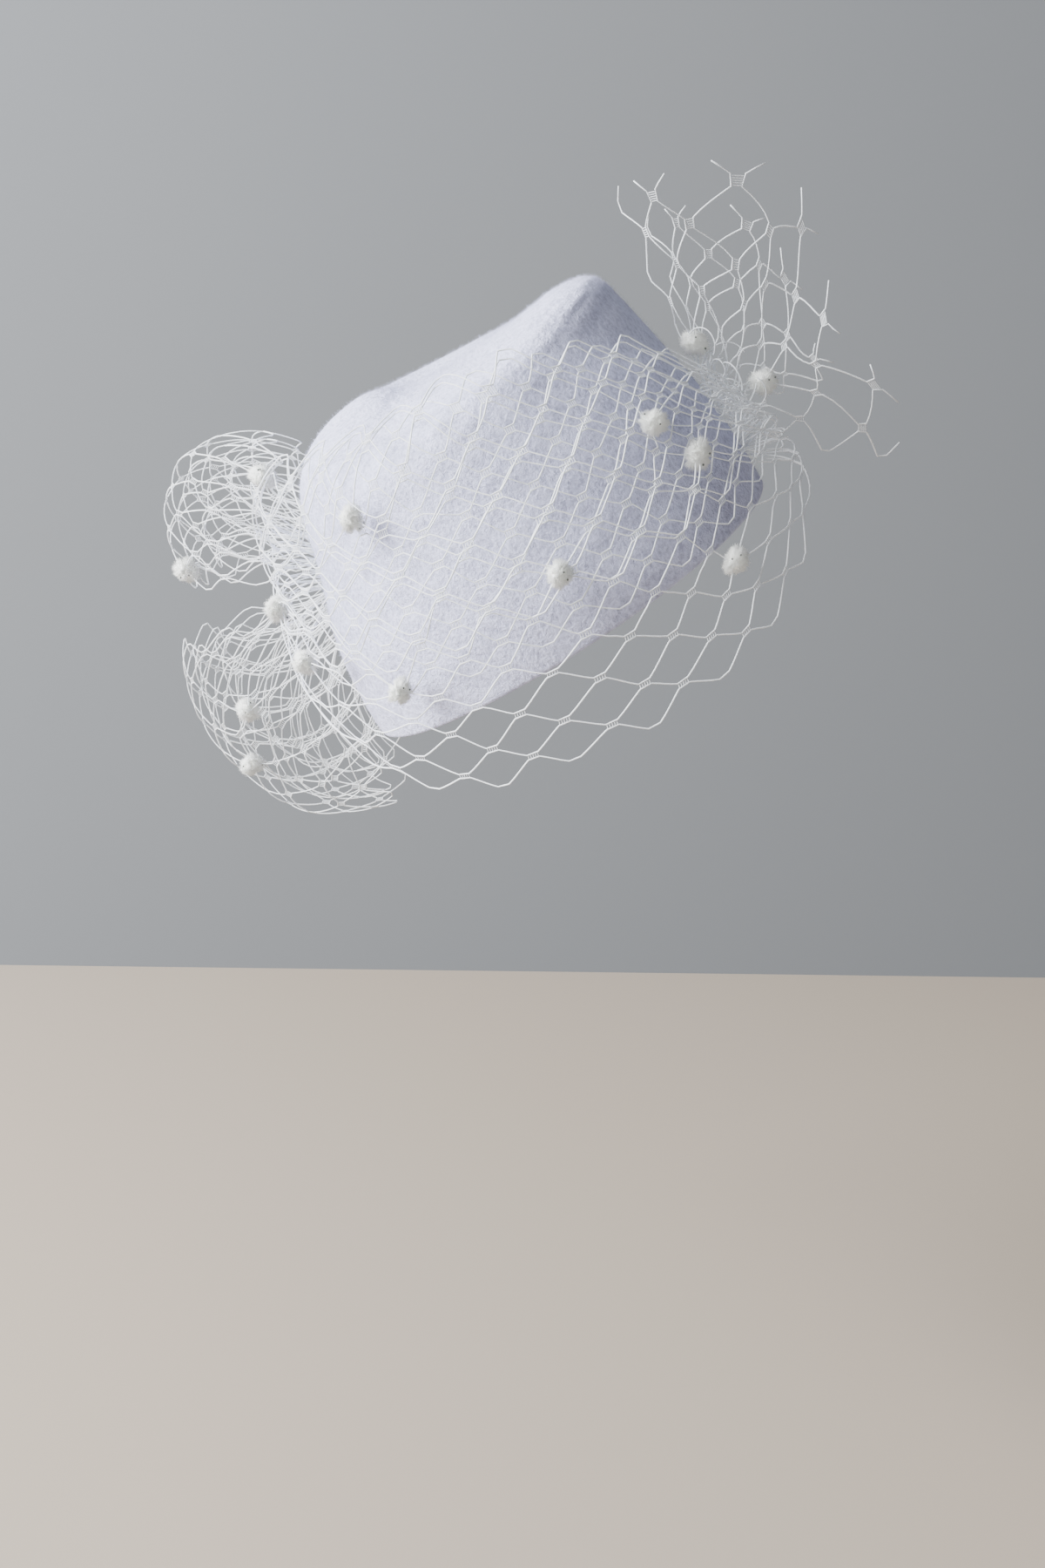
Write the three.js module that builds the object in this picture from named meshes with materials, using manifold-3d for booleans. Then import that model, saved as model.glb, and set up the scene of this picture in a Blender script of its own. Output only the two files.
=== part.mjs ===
// A tall felt pillbox hat worn tipped to one side, wrapped in a wide-mesh veil with pompoms.
// The hat is modelled upright in its own frame, with the rim in the plane z = 0, x towards
// the wearer's left, y towards the back and z up. A last turn gives it the tilt of wearing.

import * as THREE from 'three';
import { mergeVertices } from 'three/addons/utils/BufferGeometryUtils.js';
import Module from 'manifold-3d';

const wasm = await Module();
wasm.setup();

// Driving dimensions, in millimetres and degrees

const rimRadius = 79.5;
const crownHeight = 97;
const feltThickness = 2.5;
const clearance = 0.3;

const tiltToSide = 31.7;
const tiltToFront = 12.5;

const strandWidth = 1.6;
const netThickness = 1.2;
const veilStand = 18;

const sprayReach = 80;
const sprayDepth = 30;
const loopReach = 100;
const loopDepth = 44;
const gatherWidth = 10;

const pompomRadius = 5;

// Numbers of pieces in each mesh, and the share of a pompom's radius that its cuts may smooth

const crownSegments = 28;
const crownRings = 12;
const liningRings = 6;
const edgeRings = 3;
const wallSteps = 40;
const pompomSmoothing = 0.03;

// The crown, section by section round the hat. "at" is the azimuth, from the wearer's left
// towards the back. Radii are shares of the rim's radius, and the rest of the crown's height.

const crownSections = [
  { at: 0, rim: 1.0, belly: 1.02, shoulder: 0.87, height: 0.985, rounding: 0.15 },
  { at: 45, rim: 1.0, belly: 1.03, shoulder: 0.86, height: 0.955, rounding: 0.24 },
  { at: 90, rim: 1.0, belly: 1.04, shoulder: 0.84, height: 0.97, rounding: 0.32 },
  { at: 135, rim: 1.0, belly: 1.05, shoulder: 0.8, height: 1.015, rounding: 0.4 },
  { at: 180, rim: 1.02, belly: 1.05, shoulder: 0.74, height: 1.05, rounding: 0.44 },
  { at: 225, rim: 1.04, belly: 1.03, shoulder: 0.76, height: 0.99, rounding: 0.42 },
  { at: 270, rim: 1.01, belly: 1.03, shoulder: 0.84, height: 0.89, rounding: 0.26 },
  { at: 315, rim: 1.0, belly: 1.03, shoulder: 0.84, height: 0.92, rounding: 0.17 },
];

// The form that all sections share. The belly's height is a share of the section's height,
// the shoulder's bow, drop and inset are shares of its taper and rounding, the dish's radii
// are shares of the radius where the shoulder ends, and its rises are shares of its depth.

const profile = {
  bellyHeight: 0.3,
  shoulderBow: 0.6,
  shoulderDrop: 0.12,
  shoulderInset: 0.9,
  dishHeight: 0.95,
  outerDish: { radius: 0.64, rise: 0.3 },
  innerDish: { radius: 0.27, rise: 0.06 },
  wallEnd: 0.62,
};

// The veil round the front, from its gather on the right to its gather on the left.
// low and high are the heights of its edges along the felt as shares of the crown's height.
// The stands are its distances from the felt as shares of the veil's stand.

const veilSections = [
  { at: 172, low: 0.46, high: 0.56, standLow: -0.05, standMid: -0.05, standHigh: -0.05 },
  { at: 181, low: 0.34, high: 0.78, standLow: 0.75, standMid: 0.85, standHigh: 0.6 },
  { at: 194, low: 0.25, high: 0.92, standLow: 0.9, standMid: 1.0, standHigh: 0.85 },
  { at: 210, low: 0.12, high: 0.99, standLow: 0.75, standMid: 0.9, standHigh: 0.6 },
  { at: 228, low: -0.1, high: 1.02, standLow: 0.6, standMid: 0.52, standHigh: 0.34 },
  { at: 250, low: -0.24, high: 1.03, standLow: 0.55, standMid: 0.45, standHigh: 0.38 },
  { at: 275, low: -0.3, high: 1.0, standLow: 0.55, standMid: 0.45, standHigh: 0.42 },
  { at: 300, low: -0.34, high: 0.95, standLow: 0.6, standMid: 0.45, standHigh: 0.4 },
  { at: 322, low: -0.31, high: 0.86, standLow: 0.65, standMid: 0.45, standHigh: 0.36 },
  { at: 340, low: -0.22, high: 0.75, standLow: 0.75, standMid: 0.52, standHigh: 0.34 },
  { at: 355, low: -0.1, high: 0.58, standLow: 0.85, standMid: 0.65, standHigh: 0.32 },
  { at: 365, low: 0.0, high: 0.36, standLow: 0.85, standMid: 0.8, standHigh: 0.45 },
  { at: 373, low: 0.11, high: 0.2, standLow: -0.05, standMid: -0.05, standHigh: -0.05 },
];
const veilColumns = 8;
const veilRows = 7;

// The cut end of the veil, which stands up from the left gather as an open fan.
// "at" runs across the fan, bearing is measured from the wearer's left towards the crown.

const spraySections = [
  { at: 0, bearing: 86, reach: 0.95, curl: 0.1 },
  { at: 0.2, bearing: 70, reach: 0.96, curl: -0.4 },
  { at: 0.4, bearing: 45, reach: 0.93, curl: 0.3 },
  { at: 0.55, bearing: 29, reach: 0.72, curl: 0.5 },
  { at: 0.7, bearing: 0, reach: 0.55, curl: 0.1 },
  { at: 0.85, bearing: -28, reach: 0.7, curl: 0.3 },
  { at: 1, bearing: -55, reach: 0.76, curl: 0.7 },
];
const sprayRoot = { azimuth: 17, height: 0.31 };
const sprayColumns = 6;
const sprayRows = 5;

// The two loops at the right gather. Bearings are measured as in the fan.

const upperLoopSections = [
  { at: 0, bearing: 96, reach: 0.48, lean: 0.05 },
  { at: 0.35, bearing: 126, reach: 0.76, lean: 0.1 },
  { at: 0.7, bearing: 148, reach: 0.82, lean: 0.1 },
  { at: 1, bearing: 168, reach: 0.74, lean: 0.05 },
];
const lowerLoopSections = [
  { at: 0, bearing: 169, reach: 0.88, lean: 0.05 },
  { at: 0.33, bearing: 190, reach: 1.07, lean: 0.1 },
  { at: 0.66, bearing: 213, reach: 1.14, lean: 0.1 },
  { at: 1, bearing: 240, reach: 0.97, lean: 0.05 },
];
const upperLoopRoot = { azimuth: 160, height: 0.58 };
const lowerLoopRoot = { azimuth: 160, height: 0.42 };
const loopPinch = 0.1;
const loopColumns = 5;
const loopRows = 7;

// The smallest open share of a diamond of the net: a smaller one is left whole
const leastOpening = 0.35;

// Pompoms, each on a strand of one sheet of the veil, by their place in that sheet.
// A tuft's top and the hollow between tufts are shares of the pompom's radius.

const tuftTop = 1.08;
const tuftHollow = 0.93;
const pompomPlaces = [
  { sheet: 'veil_front', along: 0.415, across: 0.79 },
  { sheet: 'veil_front', along: 0.375, across: 0.32 },
  { sheet: 'veil_front', along: 0.6, across: 0.45 },
  { sheet: 'veil_front', along: 0.79, across: 0.67 },
  { sheet: 'veil_front', along: 0.81, across: 0.52 },
  { sheet: 'veil_front', along: 0.77, across: 0.21 },
  { sheet: 'veil_front', along: 0.225, across: 0.33 },
  { sheet: 'veil_front', along: 0.172, across: 0.45 },
  { sheet: 'veil_spray', along: 0.15, across: 0.28 },
  { sheet: 'veil_spray', along: 0.695, across: 0.42 },
  { sheet: 'veil_loop_upper', along: 0.385, across: 0.88 },
  { sheet: 'veil_loop_upper', along: 0.23, across: 0.17 },
  { sheet: 'veil_loop_lower', along: 0.25, across: 0.4 },
  { sheet: 'veil_loop_lower', along: 0.35, across: 0.53 },
];

const feltMaterial = new THREE.MeshStandardMaterial({ color: 0xe9e7f0, roughness: 0.95 });
const netMaterial = new THREE.MeshStandardMaterial({ color: 0xf4f4f2, roughness: 0.6 });
const pompomMaterial = new THREE.MeshStandardMaterial({ color: 0xeef0ea, roughness: 1 });

// Smooth value of one column of a table at a place between its rows
function read(table, column, place) {
  const last = table.length - 1;
  let i = 0;
  while (i < last - 1 && place > table[i + 1].at) {
    i += 1;
  }
  const here = table[i];
  const next = table[i + 1];
  const before = table[Math.max(i - 1, 0)];
  const after = table[Math.min(i + 2, last)];
  const span = next.at - here.at;
  const f = (place - here.at) / span;
  const startSlope = ((next[column] - before[column]) / (next.at - before.at)) * span;
  const endSlope = ((after[column] - here[column]) / (after.at - here.at)) * span;
  const rise = next[column] - here[column];
  const bend = 3 * rise - 2 * startSlope - endSlope;
  const turn = startSlope + endSlope - 2 * rise;
  return here[column] + startSlope * f + bend * f * f + turn * f * f * f;
}

// A table that goes once round the hat, repeated so that it has no ends
function goRound(table) {
  const turned = (turn) => table.map((row) => ({ ...row, at: row.at + turn }));
  return [...turned(-360), ...table, ...turned(360)];
}
const crownRound = goRound(crownSections);

// The crown's half section at an azimuth: t runs from the rim, 0, to the middle of the top, 1.
// It is a quadratic spline whose control points are the rim, belly, shoulder and dish.
function crownPoint(azimuth, t) {
  const turn = ((azimuth % 360) + 360) % 360;
  const rim = read(crownRound, 'rim', turn) * rimRadius;
  const belly = read(crownRound, 'belly', turn) * rimRadius;
  const shoulder = read(crownRound, 'shoulder', turn) * rimRadius;
  const height = read(crownRound, 'height', turn) * crownHeight;
  const rounding = read(crownRound, 'rounding', turn) * crownHeight;
  const dish = profile.dishHeight * crownHeight;
  const bellyHeight = profile.bellyHeight * height;
  const taper = (belly - shoulder) / (height - bellyHeight);
  const edge = shoulder - profile.shoulderInset * rounding;
  const inDish = ({ radius, rise }) => [radius * edge, dish + rise * (height - dish)];
  const control = [
    [rim, 0],
    [belly, bellyHeight],
    [shoulder + profile.shoulderBow * taper * rounding, height - rounding],
    [shoulder, height - profile.shoulderDrop * rounding],
    [edge, height],
    inDish(profile.outerDish),
    inDish(profile.innerDish),
    [0, dish],
  ];
  const [radius, z] = splinePoint(control, t);
  const angle = THREE.MathUtils.degToRad(azimuth);
  return new THREE.Vector3(radius * Math.cos(angle), radius * Math.sin(angle), z);
}

// A point of the quadratic spline that starts and ends on its outer control points
function splinePoint(control, t) {
  const pieces = control.length - 2;
  const place = Math.min(Math.max(t, 0), 1) * pieces;
  const k = Math.min(Math.floor(place), pieces - 1);
  const f = place - k;
  const middle = (p, q) => [(p[0] + q[0]) / 2, (p[1] + q[1]) / 2];
  const start = k === 0 ? control[0] : middle(control[k], control[k + 1]);
  const end = k === pieces - 1 ? control[k + 2] : middle(control[k + 1], control[k + 2]);
  const mix = (c) => (1 - f) ** 2 * start[c] + 2 * f * (1 - f) * control[k + 1][c] + f * f * end[c];
  return [mix(0), mix(1)];
}

// The unit normal of a surface of two parameters, from points a small step apart
function normalOf(surface, u, v, stepU, stepV) {
  const alongU = surface(u + stepU, v).sub(surface(u - stepU, v));
  const alongV = surface(u, v + stepV).sub(surface(u, v - stepV));
  return alongU.cross(alongV).normalize();
}
const azimuthStep = 0.5;
const shareStep = 0.01;

// The crown's surface moved out along its normal; a negative distance moves it in
function crownOffset(azimuth, t, distance) {
  const point = crownPoint(azimuth, t);
  const middleOfTop = t === 1;
  const normal = middleOfTop
    ? new THREE.Vector3(0, 0, 1)
    : normalOf(crownPoint, azimuth, t, azimuthStep, shareStep);
  return point.addScaledVector(normal, distance);
}

function meshFrom(points, faces) {
  const numbers = points.flatMap((point) => point.toArray());
  const geometry = new THREE.BufferGeometry();
  geometry.setAttribute('position', new THREE.Float32BufferAttribute(numbers, 3));
  geometry.setIndex(faces.flat());
  return geometry;
}

// A closed mesh from rings of points, with a fan over the first and the last ring's middle
function lathedMesh(rings, startPole, endPole) {
  const segments = rings[0].length;
  const points = [startPole, ...rings.flat(), endPole];
  const faces = [];
  const at = (ring, j) => 1 + ring * segments + (j % segments);
  for (let j = 0; j < segments; j += 1) {
    faces.push([0, at(0, j + 1), at(0, j)]);
    for (let ring = 0; ring < rings.length - 1; ring += 1) {
      faces.push([at(ring, j), at(ring + 1, j + 1), at(ring + 1, j)]);
      faces.push([at(ring, j), at(ring, j + 1), at(ring + 1, j + 1)]);
    }
    faces.push([at(rings.length - 1, j), at(rings.length - 1, j + 1), points.length - 1]);
  }
  return meshFrom(points, faces);
}

function ringOf(pointAt) {
  const ring = [];
  for (let j = 0; j < crownSegments; j += 1) {
    ring.push(pointAt((360 * j) / crownSegments));
  }
  return ring;
}

// The rings of the crown's outer surface, from the rim up, moved out by a distance
function outerRings(distance) {
  const rings = [];
  for (let i = 0; i < crownRings; i += 1) {
    rings.push(ringOf((azimuth) => crownOffset(azimuth, i / crownRings, distance)));
  }
  return rings;
}

// The felt: one moulded shell, open below, with a soft round edge at the rim
function feltCap() {
  const rings = [];
  for (let i = 1; i <= liningRings; i += 1) {
    const t = 1 - i / liningRings;
    rings.push(ringOf((azimuth) => crownOffset(azimuth, t, -feltThickness)));
  }
  const half = feltThickness / 2;
  for (let i = 1; i <= edgeRings; i += 1) {
    const turn = (Math.PI * i) / (edgeRings + 1);
    rings.push(ringOf((azimuth) => {
      const point = crownOffset(azimuth, 0, -half - half * Math.cos(turn));
      return point.setZ(point.z - half * Math.sin(turn));
    }));
  }
  rings.push(...outerRings(0));
  return lathedMesh(rings, crownOffset(0, 1, -feltThickness), crownOffset(0, 1, 0));
}

// The felt's outer surface moved out by the clearance and closed below, to trim the veil
function feltEnvelope() {
  return lathedMesh(outerRings(clearance), new THREE.Vector3(), crownOffset(0, 1, clearance));
}

// A point on the felt by its height along the wall from the rim; below the rim it runs on down
function wallPoint(azimuth, height) {
  let point = crownPoint(azimuth, 0);
  if (height <= 0) {
    return point.setZ(height);
  }
  let length = 0;
  for (let i = 1; i <= wallSteps; i += 1) {
    const next = crownPoint(azimuth, (profile.wallEnd * i) / wallSteps);
    const step = next.distanceTo(point);
    if (length + step >= height) {
      return point.lerp(next, (height - length) / step);
    }
    length += step;
    point = next;
  }
  return point;
}

// The value at b of the curve that passes through three values at 0, a half and 1
function throughThree(first, second, third, b) {
  return first * (1 - b) * (1 - 2 * b) + second * 4 * b * (1 - b) + third * b * (2 * b - 1);
}

// The veil's front sheet: a runs round the hat from the right gather, b from its lower edge up
function veilFront(a, b) {
  const first = veilSections[0].at;
  const last = veilSections[veilSections.length - 1].at;
  const azimuth = first + (last - first) * a;
  const value = (column) => read(veilSections, column, azimuth);
  const low = value('low') * crownHeight;
  const high = value('high') * crownHeight;
  const height = low + (high - low) * b;
  const share = throughThree(value('standLow'), value('standMid'), value('standHigh'), b);
  const heightStep = shareStep * crownHeight;
  const normal = normalOf(wallPoint, azimuth, height, azimuthStep, heightStep);
  return wallPoint(azimuth, height).addScaledVector(normal, share * veilStand);
}

// A root on the felt where a part of the veil is gathered
function gatherPoint(root) {
  return wallPoint(root.azimuth, root.height * crownHeight);
}

// The outward direction in the plane of the fan and the loops, at a bearing
function bearingDirection(bearing) {
  const angle = THREE.MathUtils.degToRad(bearing);
  return new THREE.Vector3(Math.cos(angle), 0, Math.sin(angle));
}

// The fan: a runs across it and b from the gather out to the cut edge
function spray(a, b) {
  const bearing = read(spraySections, 'bearing', a);
  const reach = read(spraySections, 'reach', a) * sprayReach;
  const curl = read(spraySections, 'curl', a) * sprayDepth;
  const point = gatherPoint(sprayRoot);
  point.addScaledVector(bearingDirection(-90), gatherWidth * (a - 0.5) * (1 - b));
  point.addScaledVector(bearingDirection(bearing), reach * b);
  return point.add(new THREE.Vector3(0, curl * b * b, 0));
}

// A loop: a runs out along its front layer and back along its rear one, b across its fan
function loopSheet(root, sections) {
  const middleBearing = (sections[0].bearing + sections[sections.length - 1].bearing) / 2;
  const side = bearingDirection(middleBearing + 90);
  return (a, b) => {
    const direction = bearingDirection(read(sections, 'bearing', b));
    const reach = read(sections, 'reach', b) * loopReach;
    const lean = read(sections, 'lean', b) * reach;
    const out = Math.sin(Math.PI * a);
    const opening = loopPinch + (1 - loopPinch) * Math.sqrt(Math.abs(out));
    const depth = (-Math.cos(Math.PI * a) * opening * loopDepth) / 2;
    const point = gatherPoint(root);
    point.addScaledVector(side, gatherWidth * (b - 0.5) * (1 - out));
    point.addScaledVector(direction, reach * out);
    return point.add(new THREE.Vector3(0, depth + lean * out, 0));
  };
}

const upperLoop = loopSheet(upperLoopRoot, upperLoopSections);
const lowerLoop = loopSheet(lowerLoopRoot, lowerLoopSections);

const sheets = {
  veil_front: { surface: veilFront, columns: veilColumns, rows: veilRows },
  veil_spray: { surface: spray, columns: sprayColumns, rows: sprayRows },
  veil_loop_upper: { surface: upperLoop, columns: loopColumns, rows: loopRows },
  veil_loop_lower: { surface: lowerLoop, columns: loopColumns, rows: loopRows },
};

// The net's knots: rows run across b, and every second row is shifted by half a cell.
// The nearest free inner knot is drawn to each pompom.
function netKnots(sheet, places) {
  const knots = new Map();
  for (let j = 0; j <= sheet.rows; j += 1) {
    const shift = j % 2 === 0 ? 0 : 0.5;
    for (let x = shift; x <= sheet.columns; x += 1) {
      const inner = j > 0 && j < sheet.rows && x >= 1 && x <= sheet.columns - 1;
      knots.set(`${x},${j}`, { a: x / sheet.columns, b: j / sheet.rows, free: inner });
    }
  }
  for (const place of places) {
    const target = sheet.surface(place.along, place.across);
    let nearest = null;
    let best = Infinity;
    for (const knot of knots.values()) {
      const distance = sheet.surface(knot.a, knot.b).distanceTo(target);
      if (knot.free && distance < best) {
        best = distance;
        nearest = knot;
      }
    }
    nearest.a = place.along;
    nearest.b = place.across;
    nearest.free = false;
  }
  return knots;
}

// A sheet of net: each diamond between four knots is a frame round an open hole,
// and it is left whole where the gather draws it too small for a hole
function netGeometry(sheet, places) {
  const knots = netKnots(sheet, places);
  const points = [];
  const faces = [];
  const half = netThickness / 2;
  const numbers = new Map();
  const pair = (point, normal) => {
    points.push(point.clone().addScaledVector(normal, half));
    points.push(point.clone().addScaledVector(normal, -half));
    return points.length - 2;
  };
  const knotNumber = (key) => {
    if (!numbers.has(key)) {
      const { a, b } = knots.get(key);
      const normal = normalOf(sheet.surface, a, b, shareStep, shareStep);
      numbers.set(key, pair(sheet.surface(a, b), normal));
    }
    return numbers.get(key);
  };
  const quad = (p, q, r, s) => faces.push([p, q, r], [p, r, s]);
  const sides = new Map();
  for (let j = 1; j < sheet.rows; j += 1) {
    const shift = j % 2 === 0 ? 0 : 0.5;
    for (let x = shift; x + 1 <= sheet.columns; x += 1) {
      const keys = [`${x},${j}`, `${x + 0.5},${j - 1}`, `${x + 1},${j}`, `${x + 0.5},${j + 1}`];
      const corners = keys.map(knotNumber);
      const outer = corners.map((n) => points[n].clone().add(points[n + 1]).multiplyScalar(0.5));
      const centre = new THREE.Vector3();
      outer.forEach((point) => centre.addScaledVector(point, 1 / outer.length));
      const normals = corners.map((n) => points[n].clone().sub(points[n + 1]).normalize());
      const open = 1 - strandWidth / 2 / diamondInradius(outer);
      if (open < leastOpening) {
        quad(corners[0], corners[1], corners[2], corners[3]);
        quad(corners[3] + 1, corners[2] + 1, corners[1] + 1, corners[0] + 1);
      } else {
        const inner = outer.map((p, k) => pair(centre.clone().lerp(p, open), normals[k]));
        for (let k = 0; k < 4; k += 1) {
          const n = (k + 1) % 4;
          quad(corners[k], corners[n], inner[n], inner[k]);
          quad(corners[n] + 1, corners[k] + 1, inner[k] + 1, inner[n] + 1);
          quad(inner[k], inner[n], inner[n] + 1, inner[k] + 1);
        }
      }
      for (let k = 0; k < 4; k += 1) {
        const n = (k + 1) % 4;
        const name = [corners[k], corners[n]].sort((p, q) => p - q).join(',');
        sides.set(name, sides.has(name) ? null : [corners[k], corners[n]]);
      }
    }
  }
  for (const side of sides.values()) {
    if (side) {
      const [p, q] = side;
      quad(q, p, p + 1, q + 1);
    }
  }
  return meshFrom(points, faces);
}

// The radius of the largest circle in a diamond, from its area and the length of its sides
function diamondInradius(corners) {
  const across = corners[2].clone().sub(corners[0]);
  const upward = corners[3].clone().sub(corners[1]);
  const area = across.cross(upward).length() / 2;
  let outline = 0;
  for (let k = 0; k < 4; k += 1) {
    outline += corners[k].distanceTo(corners[(k + 1) % 4]);
  }
  return (2 * area) / outline;
}

// A pompom: a ball whose tufts, at the corners of an icosahedron, stand out between hollows
function pompomGeometry() {
  const round = new THREE.IcosahedronGeometry(1, 1);
  round.deleteAttribute('normal');
  round.deleteAttribute('uv');
  const geometry = mergeVertices(round, shareStep);
  const position = geometry.getAttribute('position');
  const tufts = new THREE.IcosahedronGeometry(1, 0).getAttribute('position');
  for (let i = 0; i < position.count; i += 1) {
    const point = new THREE.Vector3().fromBufferAttribute(position, i);
    let nearest = Infinity;
    for (let k = 0; k < tufts.count; k += 1) {
      const tuft = new THREE.Vector3().fromBufferAttribute(tufts, k);
      nearest = Math.min(nearest, point.distanceTo(tuft));
    }
    point.multiplyScalar(pompomRadius * (nearest < shareStep ? tuftTop : tuftHollow));
    position.setXYZ(i, point.x, point.y, point.z);
  }
  return geometry;
}

const weld = 1e-5;

function solidFrom(geometry) {
  const merged = mergeVertices(geometry, weld);
  const vertProperties = new Float32Array(merged.getAttribute('position').array);
  const triVerts = new Uint32Array(merged.getIndex().array);
  return new wasm.Manifold(new wasm.Mesh({ numProp: 3, vertProperties, triVerts }));
}

function geometryFrom(solid) {
  const mesh = solid.getMesh();
  const geometry = new THREE.BufferGeometry();
  const points = new Float32Array(mesh.triVerts.length * 3);
  mesh.triVerts.forEach((vertex, i) => {
    for (let c = 0; c < 3; c += 1) {
      points[3 * i + c] = mesh.vertProperties[vertex * mesh.numProp + c];
    }
  });
  geometry.setAttribute('position', new THREE.BufferAttribute(points, 3));
  return mergeVertices(geometry, weld);
}

function named(name, geometry, material) {
  const mesh = new THREE.Mesh(geometry, material);
  mesh.name = name;
  return mesh;
}

// The whole hat, upright, then tipped as it is worn

const hat = new THREE.Group();
hat.add(named('felt_cap', feltCap(), feltMaterial));

const envelope = solidFrom(feltEnvelope());
const nets = {};

for (const [name, sheet] of Object.entries(sheets)) {
  const places = pompomPlaces.filter((place) => place.sheet === name);
  nets[name] = solidFrom(netGeometry(sheet, places)).subtract(envelope);
  hat.add(named(name, geometryFrom(nets[name]), netMaterial));
}

// Each pompom is wound round a knot of its sheet: the net passes through it, and the way
// for it is the net moved by the clearance to either side along x, y and z

function passageFor(net) {
  const moved = [];
  for (const step of [-clearance, clearance]) {
    moved.push(net.translate([step, 0, 0]));
    moved.push(net.translate([0, step, 0]));
    moved.push(net.translate([0, 0, step]));
  }
  return wasm.Manifold.union([net, ...moved]);
}

function largestBody(solid) {
  const bodies = solid.decompose();
  return bodies.reduce((kept, body) => (body.volume() > kept.volume() ? body : kept));
}

const ball = solidFrom(pompomGeometry());

pompomPlaces.forEach((place, i) => {
  const centre = sheets[place.sheet].surface(place.along, place.across);
  const aroundBall = ball.scale(1 + 1 / tuftTop).translate(centre.toArray());
  const near = nets[place.sheet].intersect(aroundBall).translate(centre.clone().negate().toArray());
  const cut = ball.subtract(passageFor(near)).simplify(pompomSmoothing * pompomRadius);
  const name = `pompom_${String(i + 1).padStart(2, '0')}`;
  const pompom = named(name, geometryFrom(largestBody(cut)), pompomMaterial);
  pompom.position.copy(centre);
  hat.add(pompom);
});

const worn = new THREE.Group();
worn.rotation.set(THREE.MathUtils.degToRad(tiltToFront), -THREE.MathUtils.degToRad(tiltToSide), 0);
worn.add(hat);

export default worn;
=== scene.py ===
# %% [markdown]
# A tall felt pillbox hat with a wide-mesh veil. The imported model gives the solids in metres,
# with the middle of the rim at the origin and +Z up, and every fine piece below is made in
# that same frame. Each solid's points are first brought into that frame, and a small helper
# reads a solid's box from them.

# %% Load the frame
import bpy
import numpy as np
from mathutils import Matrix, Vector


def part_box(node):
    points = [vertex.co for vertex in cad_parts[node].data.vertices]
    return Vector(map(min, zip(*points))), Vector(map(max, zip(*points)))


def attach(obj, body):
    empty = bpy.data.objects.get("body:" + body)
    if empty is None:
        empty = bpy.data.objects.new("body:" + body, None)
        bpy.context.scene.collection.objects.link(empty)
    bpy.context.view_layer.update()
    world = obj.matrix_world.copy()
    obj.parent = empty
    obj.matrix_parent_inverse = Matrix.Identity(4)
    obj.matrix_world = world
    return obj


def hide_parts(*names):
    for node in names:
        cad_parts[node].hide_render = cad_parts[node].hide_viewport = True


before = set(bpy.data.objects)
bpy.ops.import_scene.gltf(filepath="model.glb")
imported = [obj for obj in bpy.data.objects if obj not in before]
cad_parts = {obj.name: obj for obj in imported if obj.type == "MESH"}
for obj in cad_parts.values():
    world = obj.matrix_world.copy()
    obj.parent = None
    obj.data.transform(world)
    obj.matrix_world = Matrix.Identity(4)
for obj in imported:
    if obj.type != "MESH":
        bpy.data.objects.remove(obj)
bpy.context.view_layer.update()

# %% [markdown]
# The hat is measured upright, in millimetres, as a hatter would measure it on the block: x to
# the wearer's left, y to the back and z up from the rim. One turn tips it as it is worn, and
# the same turn brings every finished surface into the frame.

# %% Sizes of the hat and its tilt
MM = 0.001
RIM_RADIUS = 79.5
CROWN_HEIGHT = 97.0
FELT_THICKNESS = 2.5
VEIL_STAND = 18.0
SPRAY_REACH = 80.0
SPRAY_DEPTH = 30.0
LOOP_REACH = 100.0
LOOP_DEPTH = 44.0
GATHER_WIDTH = 10.0
POMPOM_RADIUS = 5.0
TILT_TO_FRONT = np.radians(12.5)
TILT_TO_SIDE = np.radians(-31.7)


def turn_about(axis, angle):
    """The matrix of a turn by an angle about the x or the y axis."""
    c, s = np.cos(angle), np.sin(angle)
    rows = {"x": [[1, 0, 0], [0, c, -s], [0, s, c]], "y": [[c, 0, s], [0, 1, 0], [-s, 0, c]]}
    return np.array(rows[axis])


WORN = turn_about("x", TILT_TO_FRONT) @ turn_about("y", TILT_TO_SIDE)


def worn(points):
    """Points of the upright hat in millimetres, tipped as it is worn and brought to metres."""
    return points @ WORN.T * MM


print("the rim's axis as worn:", np.round(WORN @ [0, 0, 1], 3))

# %% [markdown]
# A blocked hat has no straight lines to draw, so its form is a short table: a row for each
# direction round the hat, and a column for each size there. Between the rows a smooth cubic
# runs through the values, and it is read for a whole array of places at once.


# %% Tables with named columns
def table(columns, *rows):
    """A table as a dictionary that holds one array for each column."""
    return dict(zip(columns.split(), np.array(rows, float).T))


def go_round(columns):
    """A table that goes once round the hat, repeated to both sides so that it has no ends."""
    at = columns["at"]
    whole = {name: np.tile(values, 3) for name, values in columns.items()}
    whole["at"] = np.concatenate([at - 360, at, at + 360])
    return whole


def read(columns, name, place):
    """The cubic through a column's values, whose slope at a row is that of the line between
    the rows on either side of it."""
    at, value = columns["at"], columns[name]
    last = len(at) - 1
    i = np.clip(np.searchsorted(at, place) - 1, 0, last - 1)
    before, after = np.maximum(i - 1, 0), np.minimum(i + 2, last)
    span = at[i + 1] - at[i]
    f = (place - at[i]) / span
    start = (value[i + 1] - value[before]) / (at[i + 1] - at[before]) * span
    end = (value[after] - value[i]) / (at[after] - at[i]) * span
    rise = value[i + 1] - value[i]
    square, cube = 3 * rise - 2 * start - end, start + end - 2 * rise
    return value[i] + start * f + square * f**2 + cube * f**3


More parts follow.
